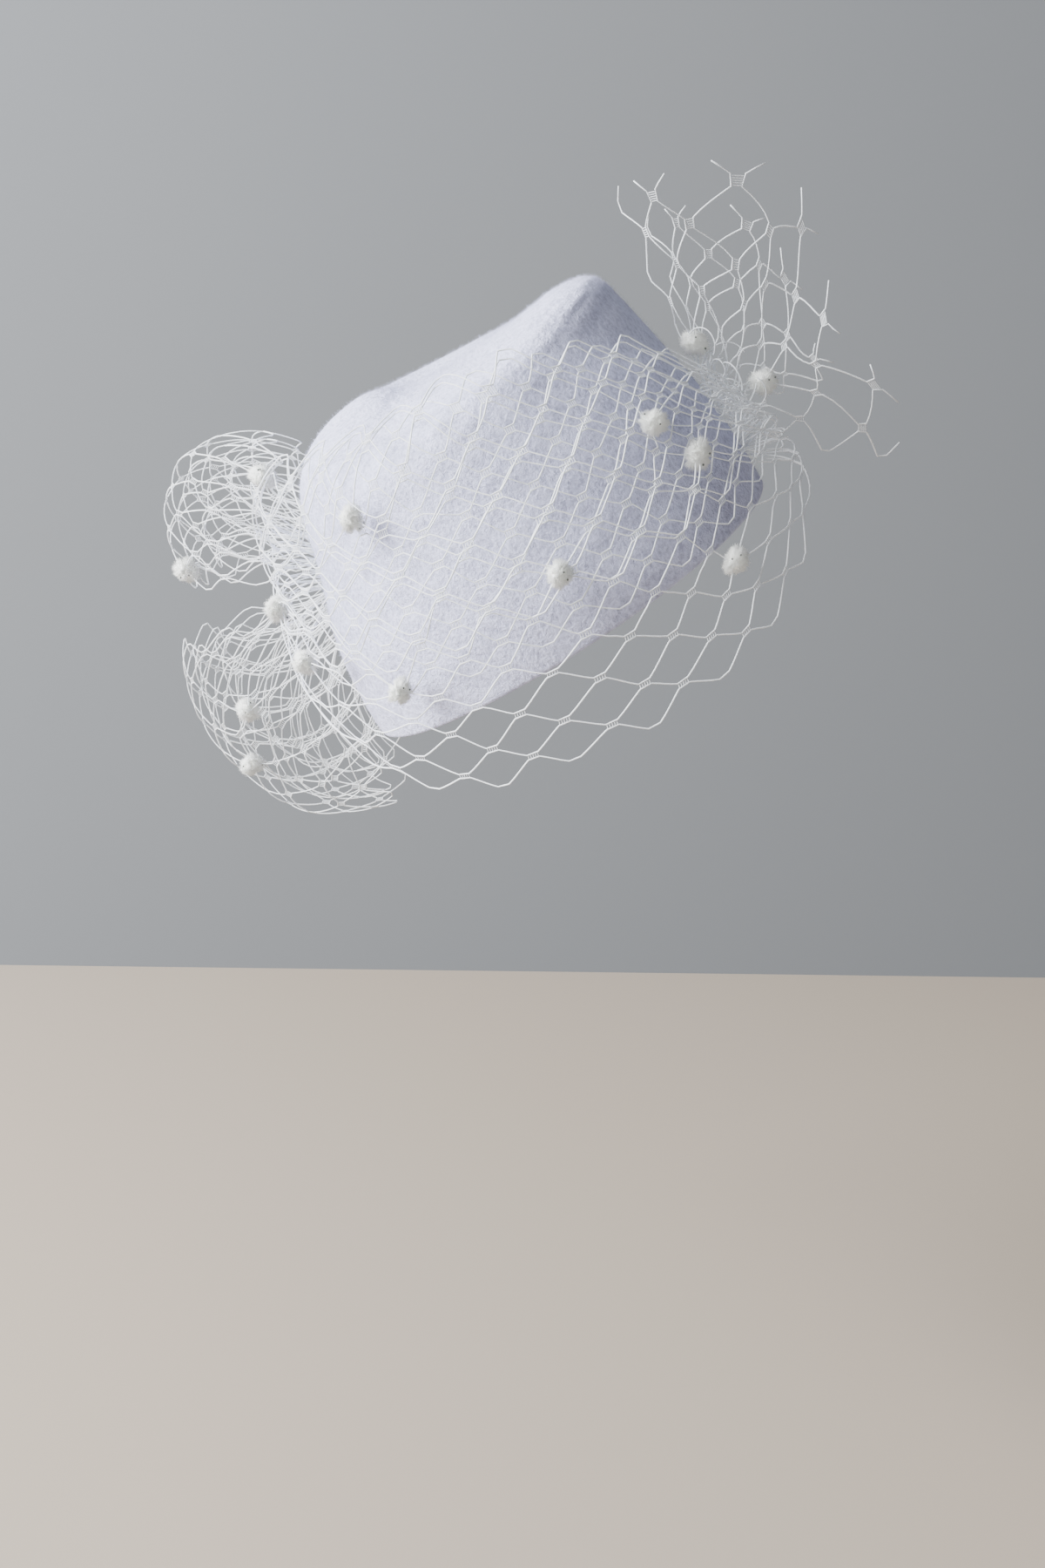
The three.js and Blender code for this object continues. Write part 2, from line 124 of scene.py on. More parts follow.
CROWN = go_round(table(
    "at rim belly shoulder height rounding",
    (0, 1.00, 1.02, 0.87, 0.985, 0.15),
    (45, 1.00, 1.03, 0.86, 0.955, 0.24),
    (90, 1.00, 1.04, 0.84, 0.970, 0.32),
    (135, 1.00, 1.05, 0.80, 1.015, 0.40),
    (180, 1.02, 1.05, 0.74, 1.050, 0.44),
    (225, 1.04, 1.03, 0.76, 0.990, 0.42),
    (270, 1.01, 1.03, 0.84, 0.890, 0.26),
    (315, 1.00, 1.03, 0.84, 0.920, 0.17),
))
print("crown rows once round:", len(CROWN["at"]) // 3)

# %% [markdown]
# The crown is a felt hood pulled over a block: a wall that swells a little, a soft shoulder,
# and a top that sinks to a shallow dish. A cylinder with a bevelled edge would be too even, so
# its half section is a quadratic spline, a smooth curve that a few guide points pull towards
# them, and the table moves those points as the section goes round.

# %% The crown as a surface
BELLY_HEIGHT = 0.3
SHOULDER_BOW = 0.6
SHOULDER_DROP = 0.12
SHOULDER_INSET = 0.9
DISH_HEIGHT = 0.95
OUTER_DISH = (0.64, 0.3)
INNER_DISH = (0.27, 0.06)
WALL_END = 0.62


def spline(control, t):
    """The quadratic spline that starts and ends on its outer control points: each stretch
    runs from the middle of one leg of the control polygon to the middle of the next."""
    pieces = len(control) - 2
    place = np.clip(t, 0, 1) * pieces
    k = np.minimum(place.astype(int), pieces - 1)
    f = place - k
    here, bend, there = (np.take_along_axis(control, (k + n)[None], 0)[0] for n in range(3))
    start = np.where(k == 0, here, (here + bend) / 2)
    end = np.where(k == pieces - 1, there, (bend + there) / 2)
    return (1 - f) ** 2 * start + 2 * f * (1 - f) * bend + f**2 * end


def crown(azimuth, t):
    """Points of the crown's outer surface: t runs up the half section from the rim, 0, to the
    middle of the top, 1, and the azimuth turns that section about the hat's axis."""
    azimuth, t = np.broadcast_arrays(azimuth, t)
    turn = np.mod(azimuth, 360)
    rim, belly, shoulder = (read(CROWN, c, turn) * RIM_RADIUS for c in ("rim", "belly", "shoulder"))
    height, rounding = (read(CROWN, c, turn) * CROWN_HEIGHT for c in ("height", "rounding"))
    dish = DISH_HEIGHT * CROWN_HEIGHT + 0 * rim
    taper = (belly - shoulder) / (height * (1 - BELLY_HEIGHT))
    edge = shoulder - SHOULDER_INSET * rounding
    radii = [rim, belly, shoulder + SHOULDER_BOW * taper * rounding, shoulder, edge,
             OUTER_DISH[0] * edge, INNER_DISH[0] * edge, 0 * rim]
    heights = [0 * rim, BELLY_HEIGHT * height, height - rounding,
               height - SHOULDER_DROP * rounding, height, dish + OUTER_DISH[1] * (height - dish),
               dish + INNER_DISH[1] * (height - dish), dish]
    radius, z = spline(np.stack(radii), t), spline(np.stack(heights), t)
    angle = np.radians(azimuth)
    return np.stack([radius * np.cos(angle), radius * np.sin(angle), z], -1)


def unit(vectors):
    """Vectors scaled to length one."""
    return vectors / np.maximum(np.linalg.norm(vectors, axis=-1, keepdims=True), 1e-9)


def normal_of(surface, u, v, step_u, step_v):
    """The unit normal of a surface: the cross product of two short steps across it."""
    along_u = surface(u + step_u, v) - surface(u - step_u, v)
    along_v = surface(u, v + step_v) - surface(u, v - step_v)
    return unit(np.cross(along_u, along_v))


print("top of the left corner, mm:", np.round(crown(np.array(0.0), np.array(WALL_END)), 1))

# %% [markdown]
# Wool felt is never quite even. A few long sine waves with fixed, mixed phases give it the
# slow swells that steam and a hand leave, and the same waves loosen the veil further on.


# %% Slow waves for anything made of wool or thread
WAVE_PEAK = 1.4


def waves(u, v, seed, count=7, reach=4):
    """The sum of some sine waves over (u, v), with whole numbers of periods so that it meets
    itself after one turn, scaled to run between about -1 and 1."""
    rng = np.random.default_rng(seed)
    turns = rng.integers(1, reach + 1, (2, count)) * rng.choice([-1, 1], (2, count))
    phase = rng.uniform(0, 2 * np.pi, count)
    angle = 2 * np.pi * (u[..., None] * turns[0] + v[..., None] * turns[1]) + phase
    return np.sin(angle).sum(-1) / np.sqrt(count) / WAVE_PEAK


def mesh_piece(name, points, faces, smooth=True, per_point_uv=None):
    """A new object from points in metres and faces of any size, at the origin."""
    mesh = bpy.data.meshes.new(name)
    mesh.from_pydata(points, [], faces)
    if per_point_uv is not None:
        corner = np.empty(len(mesh.loops), np.int32)
        mesh.loops.foreach_get("vertex_index", corner)
        mesh.uv_layers.new(name="UVMap").data.foreach_set("uv", per_point_uv[corner].ravel())
    mesh.polygons.foreach_set("use_smooth", np.full(len(mesh.polygons), smooth))
    mesh.update()
    piece = bpy.data.objects.new(name, mesh)
    bpy.context.scene.collection.objects.link(piece)
    return piece


def report(piece):
    """Prints how large a piece is and how many triangles it has."""
    piece.data.calc_loop_triangles()
    size = np.array(piece.dimensions) * 1000
    print(f"{piece.name}: {len(piece.data.loop_triangles)} triangles, {np.round(size, 1)} mm")


once_round = waves(np.linspace(0, 1, 360), np.zeros(360), 11)
print("waves once round the rim run from", np.round([once_round.min(), once_round.max()], 2))

# %% [markdown]
# The felt is one closed skin: up the outside from the rim, over the top, and back down the
# inside at the felt's thickness, with a half-round edge where the two meet. A grid of rings
# is the plainest way to make such a shell, and it leaves no seam in the middle of the top.

# %% The felt shell
ROUND_STEPS = 360
OUTSIDE_STEPS = 170
INSIDE_STEPS = 60
EDGE_STEPS = 7
SWELL = 0.35
PELTING = 0.16
POLE_FADE = 6
EASE_RISE = 0.07
EASE_TURN = 4.0
RISE_WEIGHTS = ((-1, 0.1), (-0.5, 0.24), (0, 0.32), (0.5, 0.24), (1, 0.1))
TURN_WEIGHTS = ((-1, 0.25), (0, 0.5), (1, 0.25))
NORMAL_TURN = 0.5
NORMAL_RISE = 0.006


def softened(azimuth, t):
    """The crown with its ridges eased, as thick wool eases them: each point is a weighted
    mean of places a little way up, down and round the section. The reach up and down
    shrinks to nothing at the rim and at the middle of the top, which so stay in place."""
    azimuth, t = np.broadcast_arrays(azimuth, t)
    reach = np.minimum(EASE_RISE, np.minimum(t, 1 - t))
    return sum(
        turn_weight * rise_weight * crown(azimuth + turn * EASE_TURN, t + rise * reach)
        for turn, turn_weight in TURN_WEIGHTS
        for rise, rise_weight in RISE_WEIGHTS
    )


def felt_surface(azimuth, t, depth):
    """The crown moved along its normal by a depth, with the felt's own swells on it: two
    sets of slow waves that fade out at the pole, where the azimuth has no meaning."""
    point = softened(azimuth, t)
    normal = normal_of(softened, azimuth, t, NORMAL_TURN, NORMAL_RISE)
    slow, quick = waves(azimuth / 360, t, 11), waves(azimuth / 360, t, 12, count=12, reach=16)
    swell = SWELL * slow + PELTING * quick
    fade = np.clip((1 - t) * POLE_FADE, 0, 1)
    return point + normal * (depth + swell * fade)[..., None], normal


def felt_shell():
    """The shell's rings: the outside, the inside turned about, and between them a half circle
    as wide as the felt is thick."""
    azimuth = np.arange(ROUND_STEPS) * 360 / ROUND_STEPS
    rise = np.linspace(0, 1, OUTSIDE_STEPS, endpoint=False)
    outside, _ = felt_surface(*np.meshgrid(azimuth, rise), 0 * rise[:, None])
    fall = np.linspace(1, 0, INSIDE_STEPS + 1)[1:]
    inside, _ = felt_surface(*np.meshgrid(azimuth, fall), 0 * fall[:, None] - FELT_THICKNESS)
    half = np.pi * np.arange(1, EDGE_STEPS + 1) / (EDGE_STEPS + 1)
    across = (1 + np.cos(half)[:, None]) / 2
    edge = outside[:1] * (1 - across)[..., None] + inside[-1:] * across[..., None]
    edge[..., 2] -= FELT_THICKNESS / 2 * np.sin(half)[:, None]
    return np.concatenate([inside, edge, outside])


def lathed(rings, first_pole, last_pole):
    """Faces between rings of points, with a fan of triangles over a pole at each end."""
    count, steps = rings.shape[:2]
    number = 1 + np.arange(count * steps).reshape(count, steps)
    beside = np.roll(number, -1, axis=1)
    quads = np.stack([number[:-1], beside[:-1], beside[1:], number[1:]], -1).reshape(-1, 4)
    points = np.concatenate([[first_pole], rings.reshape(-1, 3), [last_pole]])
    first_fan = np.stack([0 * number[0], beside[0], number[0]], -1)
    last_fan = np.stack([number[-1], beside[-1], 0 * number[0] + len(points) - 1], -1)
    return points, [*quads.tolist(), *first_fan.tolist(), *last_fan.tolist()]


top = crown(np.array(0.0), np.array(1.0))
shell_points, shell_faces = lathed(felt_shell(), top - [0, 0, FELT_THICKNESS], top)
felt_crown = mesh_piece("felt_crown", worn(shell_points), shell_faces)
report(felt_crown)

# %% [markdown]
# What makes felt look like felt is its nap: short wool ends that stand out of the surface and
# catch the light at the outline. Each one here is a leaning spike of three faces, which is
# enough for a hair far thinner than a pixel, and they are all one mesh.

# %% The nap of the felt
NAP_COUNT = 62000
NAP_LENGTH = 1.5
NAP_WIDTH = 0.07
NAP_DEPTH = 0.1
NAP_LEAN = 1.1
NAP_SHARES = (0.4, 1.2)
WIDEST_SHARE = 1.05


def spikes(root, direction, length, radius, rng):
    """Thin three-sided spikes: three points in a triangle round each root, and one at the tip."""
    across = unit(np.cross(direction, unit(rng.normal(size=root.shape))))
    up = np.cross(direction, across)
    angle = np.arange(3) * 2 * np.pi / 3
    ring = root[:, None] + radius * (
        np.cos(angle)[None, :, None] * across[:, None] + np.sin(angle)[None, :, None] * up[:, None]
    )
    tip = root + direction * length[:, None]
    points = np.concatenate([ring, tip[:, None]], 1).reshape(-1, 3)
    first = 4 * np.arange(len(root))[:, None]
    faces = np.stack([first + [0, 1, 2], first + [1, 2, 0], first + [3, 3, 3]], -1).reshape(-1, 3)
    return points, faces


def nap(count):
    """Spikes spread over the crown. A place is kept with a chance that grows with its distance
    from the axis, as the area there does. Each spike leans well over from the normal, as
    brushed wool does."""
    rng = np.random.default_rng(21)
    azimuth, t = rng.uniform(0, 360, 2 * count), rng.uniform(0.0, 1.0, 2 * count)
    radius = np.linalg.norm(crown(azimuth, t)[:, :2], axis=1) / RIM_RADIUS
    kept = rng.uniform(0, WIDEST_SHARE, 2 * count) < radius
    azimuth, t = azimuth[kept][:count], t[kept][:count]
    root, normal = felt_surface(azimuth, t, 0 * t - NAP_DEPTH)
    lean = unit(normal + NAP_LEAN * unit(rng.normal(size=root.shape)))
    length = NAP_LENGTH * rng.uniform(*NAP_SHARES, len(root)) ** 1.5
    return spikes(root, lean, length, NAP_WIDTH / 2, rng)


nap_points, nap_faces = nap(NAP_COUNT)
felt_nap = mesh_piece("felt_nap", worn(nap_points), nap_faces)
report(felt_nap)

# %% [markdown]
# The veil follows the felt at a distance, so it needs the felt measured along its wall, as a
# tape laid on it would: a place on the wall is found from its length up from the rim. Below
# the rim the veil hangs straight down.

# %% Places on the wall by tape
WALL_STEPS = 40
TAPE_STEP = CROWN_HEIGHT / 100


def wall_point(azimuth, height):
    """The point a given length up the wall: the wall is stepped off in short chords, and the
    point lies on the chord where their sum reaches that length."""
    azimuth, height = np.broadcast_arrays(azimuth, height)
    step = np.linspace(0, WALL_END, WALL_STEPS + 1).reshape((-1,) + (1,) * azimuth.ndim)
    chain = crown(azimuth[None], step + 0 * azimuth)
    length = np.linalg.norm(np.diff(chain, axis=0), axis=-1).cumsum(0)
    k = np.minimum((length < height).sum(0), WALL_STEPS - 1)[None]
    low, high = (np.take_along_axis(chain, (k + n)[..., None], 0)[0] for n in range(2))
    whole = np.take_along_axis(length, k, 0)[0]
    short = np.where(k[0] > 0, np.take_along_axis(length, np.maximum(k - 1, 0), 0)[0], 0)
    f = np.clip((height - short) / (whole - short), 0, 1)[..., None]
    point = low * (1 - f) + high * f
    point[..., 2] = np.where(height <= 0, height, point[..., 2])
    return point


print("wall at the back, 50 mm up:", np.round(wall_point(np.array(90.0), np.array(50.0)), 1))

# %% [markdown]
# The front of the veil is drawn round the hat from one gather to the other. Its lower edge
# hangs below the rim at the front, and both its height and its distance from the felt come
# from one table. Towards each gather the edges run together and the net meets the felt.

# %% The front sheet of the veil
VEIL = table(
    "at low high stand_low stand_mid stand_high",
    (172, 0.46, 0.56, -0.05, -0.05, -0.05),
    (181, 0.34, 0.78, 0.75, 0.85, 0.60),
    (194, 0.25, 0.92, 0.90, 1.00, 0.85),
    (210, 0.12, 0.99, 0.75, 0.90, 0.60),
    (228, -0.10, 1.02, 0.60, 0.52, 0.34),
    (250, -0.24, 1.03, 0.55, 0.45, 0.38),
    (275, -0.30, 1.00, 0.55, 0.45, 0.42),
    (300, -0.34, 0.95, 0.60, 0.45, 0.40),
    (322, -0.31, 0.86, 0.65, 0.45, 0.36),
    (340, -0.22, 0.75, 0.75, 0.52, 0.34),
    (355, -0.10, 0.58, 0.85, 0.65, 0.32),
    (365, 0.00, 0.36, 0.85, 0.80, 0.45),
    (373, 0.11, 0.20, -0.05, -0.05, -0.05),
)


def veil_front(a, b):
    """The front sheet: a runs round the hat and b from the lower edge to the upper one. A
    parabola through three distances gives how far it stands from the felt."""
    azimuth = VEIL["at"][0] + (VEIL["at"][-1] - VEIL["at"][0]) * a
    low, high = (read(VEIL, c, azimuth) * CROWN_HEIGHT for c in ("low", "high"))
    height = low + (high - low) * b
    near, middle, far = (read(VEIL, c, azimuth) for c in ("stand_low", "stand_mid", "stand_high"))
    stand = near * (1 - b) * (1 - 2 * b) + middle * 4 * b * (1 - b) + far * b * (2 * b - 1)
    normal = normal_of(wall_point, azimuth, height, NORMAL_TURN, TAPE_STEP)
    return wall_point(azimuth, height) + normal * (stand * VEIL_STAND)[..., None]


print("lowest point of the veil, mm:", np.round(veil_front(np.array(0.64), np.array(0.0)), 1))

# %% [markdown]
# The rest of the same netting makes the trimming at the sides: its cut end stands up in an
# open fan, and two lengths of it are folded back on themselves as loops. All three start at
# a gather on the felt and spread in a plane across the hat, each by a table of directions.

# %% The fan and the loops
SPRAY = table(
    "at bearing reach curl",
    (0.00, 86, 0.95, 0.1),
    (0.20, 70, 0.96, -0.4),
    (0.40, 45, 0.93, 0.3),
    (0.55, 29, 0.72, 0.5),
    (0.70, 0, 0.55, 0.1),
    (0.85, -28, 0.70, 0.3),
    (1.00, -55, 0.76, 0.7),
)
UPPER_LOOP = table(
    "at bearing reach lean",
    (0.00, 96, 0.48, 0.05),
    (0.35, 126, 0.76, 0.10),
    (0.70, 148, 0.82, 0.10),
    (1.00, 168, 0.74, 0.05),
)
LOWER_LOOP = table(
    "at bearing reach lean",
    (0.00, 169, 0.88, 0.05),
    (0.33, 190, 1.07, 0.10),
    (0.66, 213, 1.14, 0.10),
    (1.00, 240, 0.97, 0.05),
)
SPRAY_ROOT = wall_point(np.array(17.0), np.array(0.31 * CROWN_HEIGHT))
UPPER_ROOT = wall_point(np.array(160.0), np.array(0.58 * CROWN_HEIGHT))
LOWER_ROOT = wall_point(np.array(160.0), np.array(0.42 * CROWN_HEIGHT))
LOOP_PINCH = 0.1


def bearing_direction(bearing):
    """The direction in the plane across the hat, turned up from the wearer's left."""
    angle = np.radians(bearing)
    return np.stack([np.cos(angle), 0 * angle, np.sin(angle)], -1)


def spray(a, b):
    """The fan: b runs out from the gather along the direction for a, and the cut edge curls
    forward or back with the square of b."""
    bearing, reach, curl = (read(SPRAY, c, a) for c in ("bearing", "reach", "curl"))
    side = bearing_direction(np.array(-90.0)) * (GATHER_WIDTH * (a - 0.5) * (1 - b))[..., None]
    out = bearing_direction(bearing) * (reach * SPRAY_REACH * b)[..., None]
    curled = np.stack([0 * b, curl * SPRAY_DEPTH * b**2, 0 * b], -1)
    return SPRAY_ROOT + side + out + curled


def loop(root, columns, size=1.0, squeeze=1.0):
    """A loop as a surface: a goes out along the front layer and back along the rear one, a
    half turn of a flattened circle, and b runs across the fan. size and squeeze make the
    smaller loop that lies inside it."""
    middle = (columns["bearing"][0] + columns["bearing"][-1]) / 2
    side = bearing_direction(np.array(middle + 90.0))

    def surface(a, b):
        out = np.sin(np.pi * a)
        reach = read(columns, "reach", b) * LOOP_REACH * size
        opening = LOOP_PINCH + (1 - LOOP_PINCH) * np.sqrt(np.abs(out))
        depth = -np.cos(np.pi * a) * opening * LOOP_DEPTH * squeeze / 2
        across = side * (GATHER_WIDTH * (b - 0.5) * (1 - out))[..., None]
        along = bearing_direction(read(columns, "bearing", b)) * (reach * out)[..., None]
        back = np.stack([0 * out, depth + read(columns, "lean", b) * reach * out, 0 * out], -1)
        return root + across + along + back

    return surface


print("gathers, mm:", np.round([SPRAY_ROOT, UPPER_ROOT, LOWER_ROOT], 0).tolist())

# %% [markdown]
# Veiling is not woven in squares. Each thread runs the length of the net in a zigzag, and
# where it meets its neighbour the two lie side by side for a few millimetres, tied by five
# fine stitches that look like a little ladder. A wireframe of a plane would give bars that
# cross, so the net is made the way it is knitted: threads first, each a long thin tube, and
# then the rungs between them.

# %% Threads and knots of a net
THREAD_WIDTH = 0.45
STEEP_WIDTH = 0.55
RUNG_WIDTH = 0.3
CELL_LENGTH = 26.8
CELL_RISE = 8.7
KNOT_LENGTH = 4.0
KNOT_GAP = 2.0
STRAND_SHARES = (0, 0.04, 0.25, 0.5, 0.75, 0.96, 1)
STRAIGHT_PART = 0.85
CURVED_PART = 0.15
TAIL_START = 0.02
RUNGS = 5
RUNG_REACH = 0.85
SLACK = 1.3
SLACK_RANGE = (0.1, 0.9)
THREAD_SIDES = 6
RUNG_SIDES = 4
NET_STEP = 0.01


def tubes(paths, normals, width, sides, capped):
    """A tube along each of many paths: at every point a ring of points lies in the plane
    square to the path, and neighbouring rings are joined by four-sided faces. The width is
    one number, or one for each point of a path."""
    along = unit(np.gradient(paths, axis=1))
    across = unit(np.cross(along, normals))
    up = np.cross(across, along)
    angle = (np.arange(sides) * 2 * np.pi / sides)[:, None]
    ring = across[:, :, None] * np.cos(angle) + up[:, :, None] * np.sin(angle)
    thick = np.broadcast_to(width, paths.shape[:2])[:, :, None, None]
    points = paths[:, :, None] + ring * thick / 2
    number = np.arange(points[..., 0].size).reshape(points.shape[:3])
    beside = np.roll(number, -1, axis=2)
    faces = np.stack([number[:, :-1], number[:, 1:], beside[:, 1:], beside[:, :-1]], -1)
    faces = faces.reshape(-1, 4).tolist()
    if capped:
        faces += number[:, 0].tolist() + number[:, -1, ::-1].tolist()
    length = np.zeros(paths.shape[:2])
    length[:, 1:] = np.linalg.norm(np.diff(paths, axis=1), axis=-1).cumsum(1)
    turn = np.broadcast_to(np.arange(sides) / sides, number.shape)
    uv = np.stack([turn, np.broadcast_to(length[:, :, None], number.shape)], -1)
    return points.reshape(-1, 3), faces, uv.reshape(-1, 2)


def knot_places(columns, rows, warp, looseness, wound_at, seed):
    """Where the knots of a net lie, in cells along and rows up: a regular zigzag lattice, each
    knot moved a little at random. The knot nearest to each pompom is drawn to it, and draws
    its neighbours along: the step needed is that of the warp's slopes there."""
    rng = np.random.default_rng(seed)
    x, y = np.meshgrid(np.arange(2 * columns + 1) / 2, np.arange(rows + 1.0))
    x_moved = x + looseness * rng.normal(size=x.shape)
    y_moved = y + 2 * looseness * rng.normal(size=x.shape)
    for target in wound_at:
        a, b = warp(x, y)
        apart = np.hypot((a - target[0]) * columns, (b - target[1]) * rows / 2)
        apart[(2 * x + y) % 2 == 1] = np.inf
        j, i = np.unravel_index(apart.argmin(), apart.shape)
        here = np.array([x_moved[j, i], y_moved[j, i]])
        at_here = np.array(warp(*here))
        slopes = np.stack([(np.array(warp(*(here + step))) - at_here) / NET_STEP
                           for step in ([NET_STEP, 0], [0, NET_STEP])], 1)
        step = np.linalg.solve(slopes, np.array(target) - at_here)
        near = np.exp(-(np.hypot(2 * (x - x[j, i]), y - y[j, i]) ** 2) / 2)
        x_moved += near * step[0]
        y_moved += near * step[1]
    return x_moved, y_moved


def net(columns, rows, surface, warp, lift=0.0, looseness=0.03, wound_at=(), tail=0.0, seed=1):
    """A net as tubes. Thread j zigzags between the knots of rows j and j + 1, and runs on the
    near rail of each knot. warp(x, y) turns cells and rows into a place on the surface, which
    slow waves then loosen along its normal. With a tail, the threads run on past their last
    knots as cut ends."""

    def place(x, y):
        a, b = warp(x, y)
        a = np.clip(a, 0, 1)
        normal = normal_of(surface, a, b, NET_STEP, NET_STEP)
        slack = SLACK * waves(a, b, seed, count=5, reach=3)
        loose = lift + slack * np.sin(np.pi * np.clip(b, *SLACK_RANGE))
        return surface(a, b) + normal * loose[..., None], normal

    x_knot, y_knot = knot_places(columns, rows, warp, looseness, wound_at, seed)
    half_rail, half_gap = KNOT_LENGTH / 2 / CELL_LENGTH, KNOT_GAP / 2 / CELL_RISE
    j, k = np.meshgrid(np.arange(rows), np.arange(2 * columns + 1), indexing="ij")
    upper = (k + j) % 2
    knot_x, knot_y = x_knot[j + upper, k], y_knot[j + upper, k] + half_gap * (1 - 2 * upper)
    share = np.array(STRAND_SHARES)
    soft = STRAIGHT_PART * share + CURVED_PART * share**2 * (3 - 2 * share)
    start, end = knot_x[:, :-1, None] + half_rail, knot_x[:, 1:, None] - half_rail
    x = (start + (end - start) * share).reshape(rows, -1)
    y = (knot_y[:, :-1, None] + np.diff(knot_y)[..., None] * soft).reshape(rows, -1)
    if tail:
        turned = np.where(upper[:, -1:] == 1, -1, 1)
        out = np.array([[TAIL_START, tail / 2, tail]])
        x = np.concatenate([x, knot_x[:, -1:] + half_rail + out], 1)
        y = np.concatenate([y, knot_y[:, -1:] + turned * 2 * out], 1)
    climbs = np.repeat(np.diff(knot_y) > 0, len(share), axis=1)
    width = np.full(x.shape, THREAD_WIDTH)
    width[:, :climbs.shape[1]][climbs] = STEEP_WIDTH
    paths, normals = place(x, y)
    points, faces, uv = tubes(paths, normals, width, THREAD_SIDES, True)
    tied = (upper == 1) & (j < rows - 1)
    knots = np.stack([knot_x[tied], y_knot[(j + upper)[tied], k[tied]]], -1)
    offset = np.linspace(-RUNG_REACH, RUNG_REACH, RUNGS) * half_rail
    rung_x = (knots[:, :1] + offset).ravel()[:, None] + [0, 0]
    rung_y = np.repeat(knots[:, 1], RUNGS)[:, None] + [-half_gap, half_gap]
    more, rung_faces, rung_uv = tubes(*place(rung_x, rung_y), RUNG_WIDTH, RUNG_SIDES, False)
    faces += (np.array(rung_faces) + len(points)).tolist()
    return np.concatenate([points, more]), faces, np.concatenate([uv, rung_uv])


print("a cell's side, mm:", round(float(np.hypot(CELL_LENGTH / 2, CELL_RISE)), 1))

# %% [markdown]
# Each sheet of netting is now laid on its surface. The places of its knots are cells and rows,
# so they are divided by the sheet's own counts to become a and b. One layer would look thinner
# than the folded netting does, so each sheet is two or three layers on much the same surface,
# out of step with each other. Each sheet is declared with the flat size that it was cut to.
# Its threads cover only part of that, so the area says how much.

# %% The four sheets of netting
CURL_DISTANCE = (3, 12)
CURL_SCATTER = 4.5
CURL_SWEEP = (3.0, 5.4)
CURL_RADIUS = (3, 8)
CURL_POINTS = 22
POMPOMS = {
    "veil_front": [(0.415, 0.79), (0.375, 0.32), (0.6, 0.45), (0.79, 0.67), (0.81, 0.52),
                   (0.77, 0.21), (0.225, 0.33), (0.172, 0.45)],
    "veil_spray": [(0.15, 0.28), (0.695, 0.42)],
    "veil_loop_upper": [(0.385, 0.88), (0.23, 0.17)],
    "veil_loop_lower": [(0.25, 0.4), (0.35, 0.53)],
}


def even(columns, rows, low=0.0, high=1.0, flip=False):
    """A warp that spreads the cells evenly along a, and the rows over b from low to high.
    flip changes a and b over, so that the threads run along b."""

    def warp(x, y):
        a, b = x / columns, low + (high - low) * y / rows
        return (b, a) if flip else (a, b)

    return warp


def curls(root, outward, count, seed):
    """Arcs of thread that stand out of a gather, where the bunched net folds over: circles
    with random middles, planes, radii and sweeps."""
    rng = np.random.default_rng(seed)
    away = outward * rng.uniform(*CURL_DISTANCE, (count, 1))
    middle = root + away + rng.normal(size=(count, 3)) * CURL_SCATTER
    first = unit(rng.normal(size=(count, 3)))
    normal = unit(np.cross(first, rng.normal(size=(count, 3))))
    angle = rng.uniform(*CURL_SWEEP, (count, 1)) * np.linspace(0, 1, CURL_POINTS)
    turned = np.cos(angle)[..., None] * first[:, None]
    turned = turned + np.sin(angle)[..., None] * np.cross(normal, first)[:, None]
    paths = middle[:, None] + rng.uniform(*CURL_RADIUS, (count, 1, 1)) * turned
    normals = np.broadcast_to(normal[:, None], paths.shape)
    return tubes(paths, normals, THREAD_WIDTH, THREAD_SIDES, True)


def net_piece(name, gather, *layers):
    """All the layers of one sheet of netting and the curls at its gather, fused into one
    object. Each layer is given as its columns, rows, surface and warp, with its other
    details. The size that they were cut to together is kept beside the object: their rows
    of cells one above another, as many columns long as the first layer, each cell of the
    size that it has in flat netting."""
    parts = [net(*layer[:4], **layer[4]) for layer in layers]
    parts.append(curls(*gather))
    points, uv = (np.concatenate([part[n] for part in parts]) for n in (0, 2))
    start = np.cumsum([0] + [len(part[0]) for part in parts])
    faces = [[n + first for n in face] for part, first in zip(parts, start) for face in part[1]]
    piece = mesh_piece(name, worn(points), faces, per_point_uv=uv)
    columns = layers[0][0]
    rows = sum(layer[0] * layer[1] for layer in layers) / columns
    piece["cut"] = [rows * CELL_RISE * MM, columns * CELL_LENGTH * MM]
    report(piece)
    return piece


# %% [markdown]
# Round the front the net was pulled on the slant, so its rows climb towards the wearer's left
# as they rise, and its cells are widest at the middle. The second layer starts near the rim
# and lies nearer the felt, out of step with the first by one row. The third starts a row
# higher and stands a little farther from the felt than the first, which it doubles.

# %% The net round the front
FRONT_COLUMNS = 12
FRONT_ROWS = 14
FRONT_SPREAD = 0.01
FRONT_SLANT = 0.0073
SLANT_START = 1.4
ROW_RISE = 0.0545
ROW_GROWTH = 0.00125
EDGE_DROP = 0.004


def front_warp(x_from=0.0, y_from=0.0):
    """The warp of the front: evenly spaced columns, spread at the middle by a sine wave and
    slanted in proportion to the row, and rows whose height grows with a small square."""

    def warp(x, y):
        u, row = (x + x_from) / FRONT_COLUMNS, y + y_from
        slant = FRONT_SLANT * (row + SLANT_START) * 4 * u * (1 - u)
        a = u - FRONT_SPREAD * np.sin(2 * np.pi * u) + slant
        return a, row * (ROW_RISE + ROW_GROWTH * row) - EDGE_DROP

    return warp


